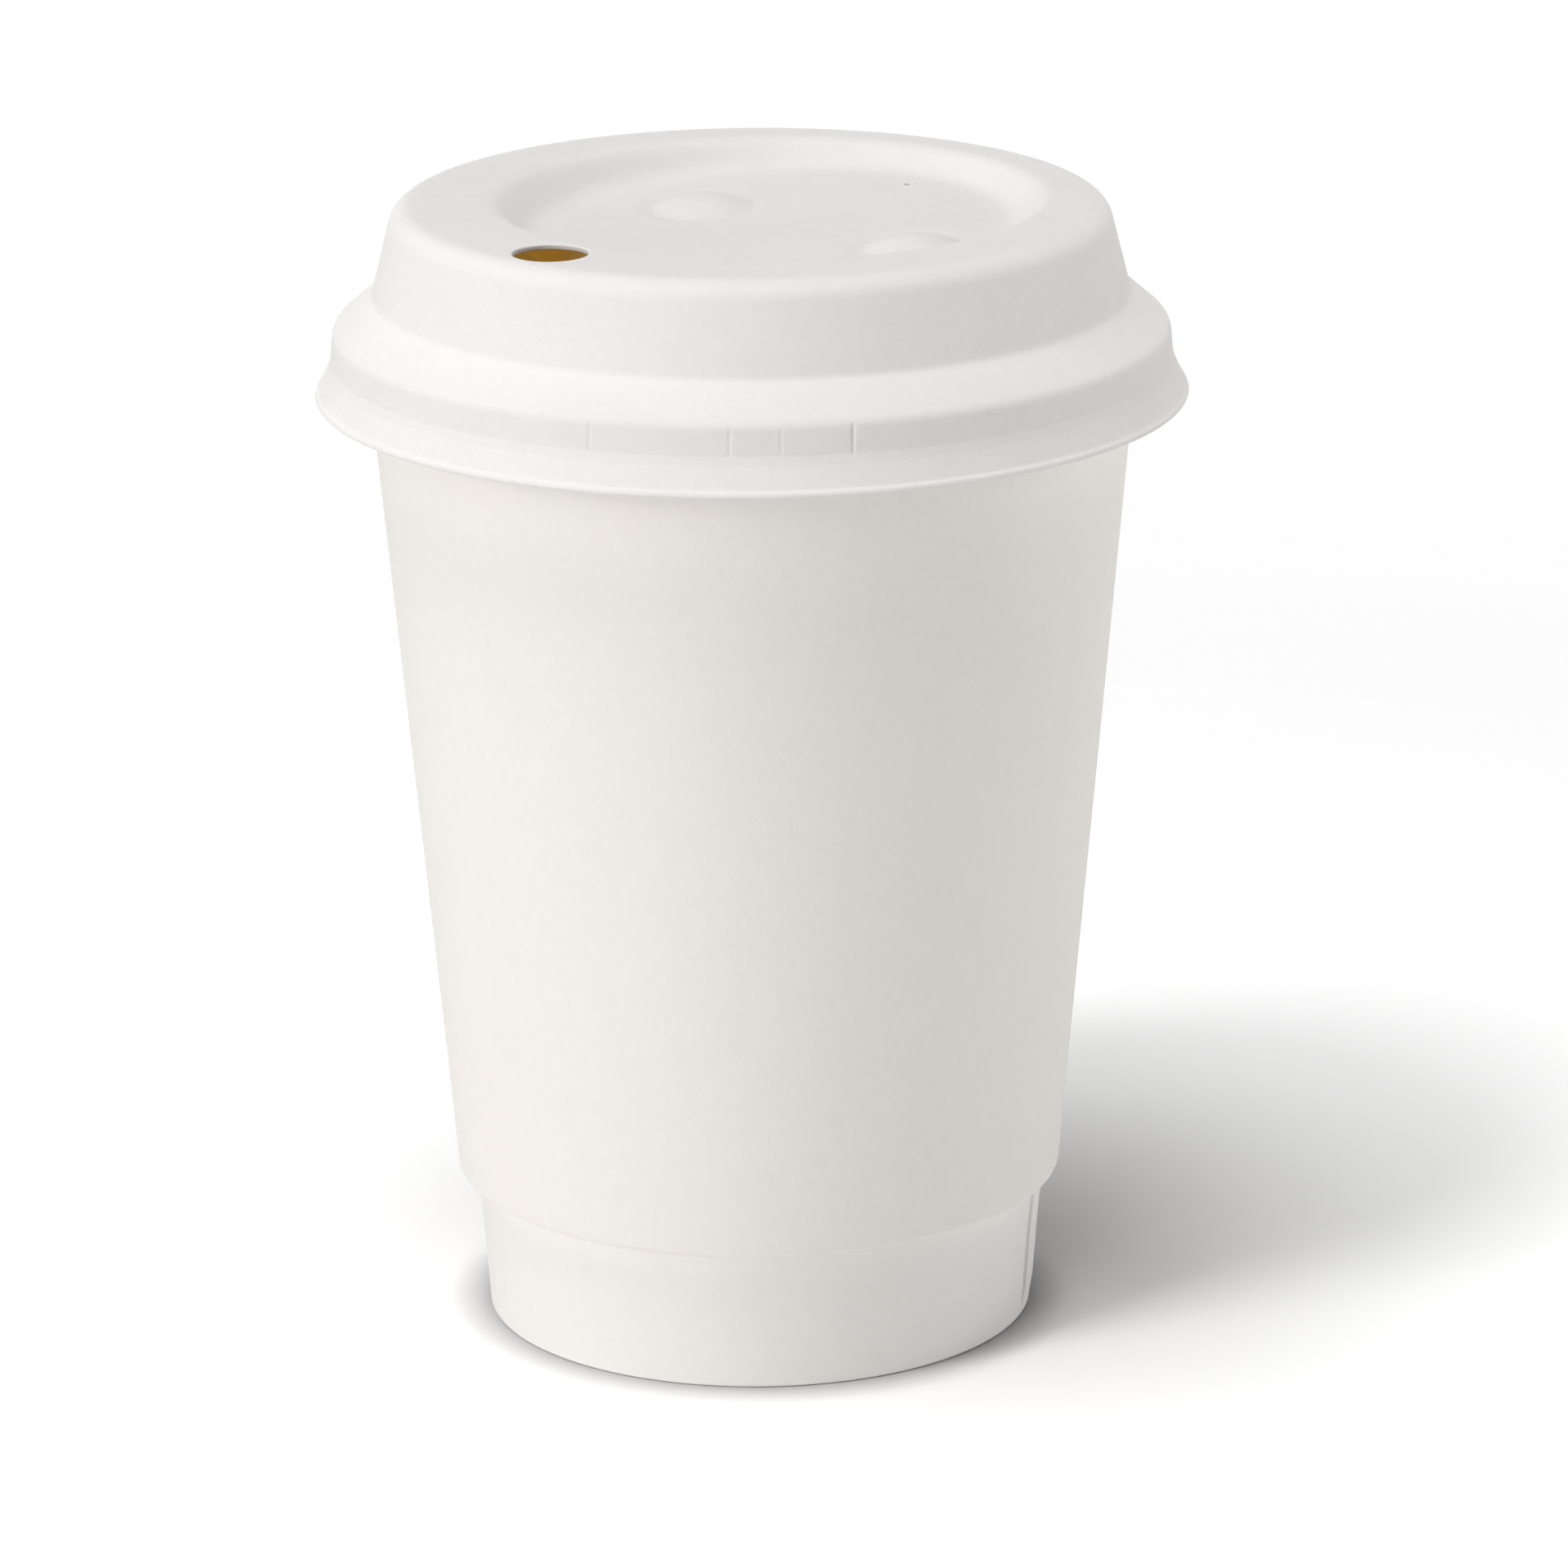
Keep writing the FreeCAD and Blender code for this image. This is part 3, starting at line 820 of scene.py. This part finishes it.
def fibre_group():
    """Texture of pressed or rolled fibre, for a vector in metres.

    Clouds are wide soft patches of thicker stock, flocks are tufts a few tenths of a millimetre
    wide, and grain is the finest tooth. Each is a noise at its own scale.
    """
    group = new_group("fibre", [
        ("Vector", "NodeSocketVector", None),
        ("Colour", "NodeSocketColor", (0.85, 0.84, 0.82, 1)),
        ("Cloud Colour", "NodeSocketColor", (0.83, 0.82, 0.80, 1)),
        ("Cloud Scale", "NodeSocketFloat", 60.0),
        ("Flock Scale", "NodeSocketFloat", 900.0),
        ("Grain Scale", "NodeSocketFloat", 4000.0),
        ("Flock Share", "NodeSocketFloat", 0.6),
        ("Roughness", "NodeSocketFloat", 0.8),
    ], [
        ("Colour", "NodeSocketColor"),
        ("Roughness", "NodeSocketFloat"),
        ("Height", "NodeSocketFloat"),
    ])
    entry = add_node(group, "NodeGroupInput")
    leave = add_node(group, "NodeGroupOutput")
    vector = entry.outputs["Vector"]

    def scaled(label, detail, roughness, distortion):
        node = add_node(group, "ShaderNodeTexNoise", {"Detail": detail, "Roughness": roughness,
                                                      "Distortion": distortion})
        group.links.new(vector, node.inputs["Vector"])
        group.links.new(entry.outputs[label], node.inputs["Scale"])
        return node.outputs["Fac"]

    clouds = remap(group, scaled("Cloud Scale", 3.0, 0.55, 0.3), 0.35, 0.65, 0.0, 1.0)
    flocks = remap(group, scaled("Flock Scale", 4.0, 0.6, 1.2), 0.3, 0.7, 0.0, 1.0)
    grain = scaled("Grain Scale", 2.0, 0.5, 0.0)
    tone = mixed(group, clouds, entry.outputs["Colour"], entry.outputs["Cloud Colour"])
    shade = remap(group, flocks, 0.0, 1.0, 0.985, 1.01)
    tint = add_node(group, "ShaderNodeCombineColor")
    for socket in tint.inputs[:3]:
        group.links.new(shade, socket)
    colour = mixed(group, 1.0, tone, tint.outputs[0], "MULTIPLY")
    group.links.new(colour, leave.inputs["Colour"])
    tufts = calculate(group, "MULTIPLY", flocks, entry.outputs["Flock Share"])
    group.links.new(calculate(group, "ADD", tufts, grain), leave.inputs["Height"])
    spread = remap(group, flocks, 0.0, 1.0, -0.05, 0.05)
    group.links.new(calculate(group, "ADD", entry.outputs["Roughness"], spread),
                    leave.inputs["Roughness"])
    return group


def new_material(name):
    """Material with its node tree emptied, its Principled shader and its output."""
    material = bpy.data.materials.new(name)
    material.use_nodes = True
    tree = material.node_tree
    tree.nodes.clear()
    shader = add_node(tree, "ShaderNodeBsdfPrincipled")
    output = add_node(tree, "ShaderNodeOutputMaterial")
    tree.links.new(shader.outputs["BSDF"], output.inputs["Surface"])
    return material, tree, shader


def fibre_finish(tree, shader, group, values, relief, stretch=(1, 1, 1)):
    """Places the fibre group on Object coordinates and links it to a shader; returns the group."""
    place = add_node(tree, "ShaderNodeTexCoord")
    mapping = add_node(tree, "ShaderNodeMapping", {"Scale": stretch})
    tree.links.new(place.outputs["Object"], mapping.inputs["Vector"])
    texture = add_node(tree, "ShaderNodeGroup", node_tree=group)
    for label, value in values.items():
        texture.inputs[label].default_value = value
    tree.links.new(mapping.outputs["Vector"], texture.inputs["Vector"])
    tree.links.new(texture.outputs["Colour"], shader.inputs["Base Color"])
    tree.links.new(texture.outputs["Roughness"], shader.inputs["Roughness"])
    bump = add_node(tree, "ShaderNodeBump", {"Strength": 1.0, "Distance": relief})
    tree.links.new(texture.outputs["Height"], bump.inputs["Height"])
    tree.links.new(bump.outputs["Normal"], shader.inputs["Normal"])
    return texture


def painted_inside_light(tree, shader, colour):
    """Painted light: inside the closed cup an amber base colour and an amber glow stand in for the
    light that comes through the board and fibre.

    The share is the attribute "inside", times the share of directions from which no light comes.
    """
    inside = add_node(tree, "ShaderNodeAttribute", attribute_name="inside")
    open_share = add_node(tree, "ShaderNodeAmbientOcclusion", {"Distance": shade_reach}, samples=8)
    closed = remap(tree, open_share.outputs["AO"], shade_full, shade_none, 1.0, 0.0)
    share = calculate(tree, "MULTIPLY", inside.outputs["Fac"], closed)
    # Painted light: amber base colour and amber emission glow where the cup is closed off
    tree.links.new(mixed(tree, share, colour, painted_light_amber), shader.inputs["Base Color"])
    glow = mixed(tree, share, (0.0, 0.0, 0.0, 1), painted_light_glow)
    tree.links.new(glow, shader.inputs["Emission Color"])
    shader.inputs["Emission Strength"].default_value = 1.0


def moulded_fibre(group):
    """Lid: neutral white pressed fibre."""
    material, tree, shader = new_material("moulded_fibre")
    texture = fibre_finish(tree, shader, group, {
        "Colour": (0.799, 0.781, 0.766, 1),
        "Cloud Colour": (0.787, 0.770, 0.755, 1),
        "Cloud Scale": 90.0,
        "Flock Scale": 700.0,
        "Grain Scale": 3000.0,
        "Flock Share": 1.2,
        "Roughness": 0.85,
    }, 0.02 * MM)
    shader.inputs["Specular IOR Level"].default_value = 0.25
    # Painted amber light and glow inside the closed cup, on the lid's underside near the sip hole
    painted_inside_light(tree, shader, texture.outputs["Colour"])
    return material


def jacket_board_finish(group):
    """Jacket: plain uncoated board, warm off-white, its fibres drawn out along its height."""
    material, tree, shader = new_material("jacket_board")
    fibre_finish(tree, shader, group, {
        "Colour": (0.900, 0.861, 0.822, 1),
        "Cloud Colour": (0.890, 0.855, 0.818, 1),
        "Cloud Scale": 45.0,
        "Flock Scale": 1100.0,
        "Grain Scale": 5000.0,
        "Flock Share": 0.8,
        "Roughness": 0.75,
    }, 0.012 * MM, (1, 1, 0.45))
    shader.inputs["Specular IOR Level"].default_value = 0.3
    return material


def cup_board_finish(group):
    """Inner cup and base: coated board, a little glossier than the jacket."""
    material, tree, shader = new_material("cup_board")
    texture = fibre_finish(tree, shader, group, {
        "Colour": (0.915, 0.882, 0.850, 1),
        "Cloud Colour": (0.908, 0.876, 0.848, 1),
        "Cloud Scale": 50.0,
        "Flock Scale": 1300.0,
        "Grain Scale": 6000.0,
        "Flock Share": 0.5,
        "Roughness": 0.52,
    }, 0.006 * MM, (1, 1, 0.5))
    shader.inputs["Specular IOR Level"].default_value = 0.4
    # Painted amber light and glow inside the closed cup, on the inside of the rim
    painted_inside_light(tree, shader, texture.outputs["Colour"])
    return material


def add_piece(name, shell, material, body, node):
    """Mesh object of a shell, riding on its body in place of the node it stands for."""
    points, quads, fans = shell
    mesh = bpy.data.meshes.new(name)
    mesh.from_pydata(points.tolist(), [], quads.tolist() + fans.tolist())
    mesh.polygons.foreach_set("use_smooth", np.ones(len(mesh.polygons), bool))
    mesh.materials.append(material)
    piece = bpy.data.objects.new(name, mesh)
    bpy.context.scene.collection.objects.link(piece)
    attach(piece, body)
    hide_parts(node)
    return piece


def mesh_points(piece):
    """Three arrays: the x, the y and the z of a piece's points."""
    points = np.empty(len(piece.data.vertices) * 3)
    piece.data.vertices.foreach_get("co", points)
    return points.reshape(-1, 3).T


def mark_painted_light(piece, values):
    """Keeps one value for each point as the attribute "inside", the mask of the painted amber
    light.
    """
    attribute = piece.data.attributes.new("inside", "FLOAT", "POINT")
    attribute.data.foreach_set("value", values)


def mark_lid_painted_light(lid):
    """Mask of the painted amber light: 1 on the lid's underside near the sip hole, fading out with
    distance.
    """
    x, y, z = mesh_points(lid)
    angle = math.radians(lid_axis_azimuth - 180)
    away = np.hypot(x - sip_radius * math.cos(angle), y - sip_radius * math.sin(angle))
    below = deck_surface(x, y, 0.0) - z
    inside = np.clip((below - 0.75 * lid_wall) / (0.2 * lid_wall), 0, 1)
    inside[np.hypot(x, y) > crown_bend()] = 0
    faded = np.clip((painted_light_reach - away) / (painted_light_fade * painted_light_reach), 0, 1)
    mark_painted_light(lid, inside * faded)


def mark_cup_painted_light(cup):
    """Mask of the painted amber light: 1 on the inside of the cup's rim, fading out down its wall.
    """
    x, y, z = mesh_points(cup)
    radius = np.hypot(x, y)
    top = np.clip((z - cup_height) / painted_light_reach + 1, 0, 1)
    middle_face = wall_radius(z) - cup_board / 2
    roll_middle = rim_radius - curl_radius
    on_roll = np.hypot(radius - roll_middle, z - curl_height) > curl_radius - cup_board / 2
    lined = np.where(z > curl_height, on_roll & (radius < roll_middle), radius < middle_face)
    mark_painted_light(cup, top * lined)


def add_floor():
    """White disc that keeps the cup's shadow and fades into the white world.

    Rings (r cos a, r sin a, 0) round a pole at the origin.
    """
    rings = np.array([[radius, 0] for radius in floor_rings])
    rows = carried_round(rings, azimuths(FLOOR_TURNS))
    numbers = np.arange(rows.shape[0] * rows.shape[1]).reshape(rows.shape[:2])
    points = np.vstack([rows.reshape(-1, 3), [(0, 0, 0)]])
    quads = strip_faces(numbers)[:, ::-1]
    fan = fan_faces(numbers[0], len(points) - 1, True)
    mesh = bpy.data.meshes.new("floor")
    mesh.from_pydata(points.tolist(), [], quads.tolist() + fan.tolist())
    mesh.materials.append(floor_paper())
    floor = bpy.data.objects.new("floor", mesh)
    bpy.context.scene.collection.objects.link(floor)
    return floor


def floor_paper():
    """White paper. Camera rays see it brighter, and beyond the shadow's reach they see the world.

    Camera rays also see a painted contact shadow: it darkens where the foot closes off the light
    within a few millimetres.
    """
    material = bpy.data.materials.new("floor_paper")
    material.use_nodes = True
    tree = material.node_tree
    tree.nodes.clear()
    output = add_node(tree, "ShaderNodeOutputMaterial")
    plain = add_node(tree, "ShaderNodeBsdfDiffuse",
                     {"Color": (floor_grey, floor_grey, floor_grey, 1)})
    bright = add_node(tree, "ShaderNodeBsdfDiffuse")
    contact = add_node(tree, "ShaderNodeAmbientOcclusion", {"Distance": contact_reach}, samples=16)
    # Beside an upright wall half of the directions stay open
    open_share = remap(tree, contact.outputs["AO"], 0.5, 1.0, 0.0, 1.0)
    dark = floor_gain * (1 - contact_shadow_darkness)
    colour = mixed(tree, open_share, (dark, dark, dark, 1),
                   (floor_gain, floor_gain, floor_gain, 1))
    tree.links.new(colour, bright.inputs["Color"])
    clear = add_node(tree, "ShaderNodeBsdfTransparent")
    light_path = add_node(tree, "ShaderNodeLightPath")
    place = add_node(tree, "ShaderNodeTexCoord")
    distance = add_node(tree, "ShaderNodeVectorMath", operation="LENGTH")
    tree.links.new(place.outputs["Object"], distance.inputs[0])
    away = remap(tree, distance.outputs["Value"], floor_fade_near, floor_fade_far, 0.0, 1.0)
    side = add_node(tree, "ShaderNodeNewGeometry")
    hidden = calculate(tree, "MAXIMUM", away, side.outputs["Backfacing"])
    seen = add_node(tree, "ShaderNodeMixShader")
    tree.links.new(hidden, seen.inputs[0])
    tree.links.new(bright.outputs[0], seen.inputs[1])
    tree.links.new(clear.outputs[0], seen.inputs[2])
    final = add_node(tree, "ShaderNodeMixShader")
    tree.links.new(light_path.outputs["Is Camera Ray"], final.inputs[0])
    tree.links.new(plain.outputs[0], final.inputs[1])
    tree.links.new(seen.outputs[0], final.inputs[2])
    tree.links.new(final.outputs[0], output.inputs["Surface"])
    return material


def add_world():
    """White where the camera, a gloss or a clear surface looks.

    Elsewhere it is a soft light that comes mostly from low down: sky_strength * (1 - z) **
    sky_falloff, for a direction of height z.
    """
    world = bpy.data.worlds.new("studio")
    bpy.context.scene.world = world
    world.use_nodes = True
    tree = world.node_tree
    tree.nodes.clear()
    soft = add_node(tree, "ShaderNodeBackground", {"Color": (1, 1, 1, 1)})
    white = add_node(tree, "ShaderNodeBackground", {"Color": (1, 1, 1, 1), "Strength": 1.0})
    direction = add_node(tree, "ShaderNodeTexCoord")
    split = add_node(tree, "ShaderNodeSeparateXYZ")
    tree.links.new(direction.outputs["Generated"], split.inputs[0])
    height = remap(tree, split.outputs["Z"], 0.0, 1.0, 1.0, 0.0)
    share = calculate(tree, "POWER", height, sky_falloff)
    glow = calculate(tree, "MULTIPLY", share, sky_strength)
    tree.links.new(glow, soft.inputs["Strength"])
    light_path = add_node(tree, "ShaderNodeLightPath")
    direct = calculate(tree, "MAXIMUM", light_path.outputs["Is Camera Ray"],
                       light_path.outputs["Is Glossy Ray"])
    direct = calculate(tree, "MAXIMUM", direct, light_path.outputs["Is Transmission Ray"])
    mix = add_node(tree, "ShaderNodeMixShader")
    tree.links.new(direct, mix.inputs[0])
    tree.links.new(soft.outputs[0], mix.inputs[1])
    tree.links.new(white.outputs[0], mix.inputs[2])
    output = add_node(tree, "ShaderNodeOutputWorld")
    tree.links.new(mix.outputs[0], output.inputs["Surface"])


def add_lamp(floor, name, azimuth, elevation, size, power, lit):
    """Square area lamp that faces the cup's middle from a compass direction.

    It lights everything, only the floor, or all but the floor.
    """
    lamp = bpy.data.lights.new(name, "AREA")
    lamp.size = size
    lamp.energy = power
    holder = bpy.data.objects.new(name, lamp)
    turn = Matrix.Rotation(math.radians(azimuth + 90), 4, "Z")
    tip = Matrix.Rotation(math.radians(90 - elevation), 4, "X")
    back = Matrix.Translation((0, 0, lamp_distance))
    middle = Matrix.Translation((0, 0, cup_height / 2))
    holder.matrix_world = middle @ turn @ tip @ back
    bpy.context.scene.collection.objects.link(holder)
    if lit != "all":
        receivers = bpy.data.collections.new(name + " receivers")
        receivers.objects.link(floor)
        state = "INCLUDE" if lit == "floor" else "EXCLUDE"
        receivers.collection_objects[0].light_linking.link_state = state
        holder.light_linking.receiver_collection = receivers


def add_camera():
    """Looks along +Y from the front, pitched down and rolled a little, at the aim point."""
    camera = bpy.data.cameras.new("camera")
    camera.lens = lens_length
    camera.sensor_width = sensor_width
    camera.sensor_fit = "HORIZONTAL"
    camera.clip_start = 0.05
    holder = bpy.data.objects.new("camera", camera)
    pitch = Matrix.Rotation(math.radians(90 - camera_pitch), 4, "X")
    roll = Matrix.Rotation(math.radians(camera_roll), 4, "Z")
    back = Matrix.Translation((0, 0, camera_distance))
    holder.matrix_world = Matrix.Translation(aim_point) @ pitch @ roll @ back
    bpy.context.scene.collection.objects.link(holder)
    bpy.context.scene.camera = holder


def main():
    """Camera, the cup's four pieces, floor, world and lamps."""
    add_camera()
    group = fibre_group()
    board = cup_board_finish(group)
    cup = add_piece("inner_cup_wall", inner_cup_shell(), board, "cup", "inner_cup")
    mark_cup_painted_light(cup)
    add_piece("base_plate", base_disc_shell(), board, "cup", "base_disc")
    add_piece("jacket_cone", outer_jacket_shell(), jacket_board_finish(group), "cup",
              "outer_jacket")
    lid = add_piece("fibre_lid", lid_shell(), moulded_fibre(group), "lid", "lid")
    mark_lid_painted_light(lid)
    floor = add_floor()
    add_world()
    for lamp in lamps:
        add_lamp(floor, *lamp)
    bpy.context.scene.view_settings.view_transform = "Standard"


main()
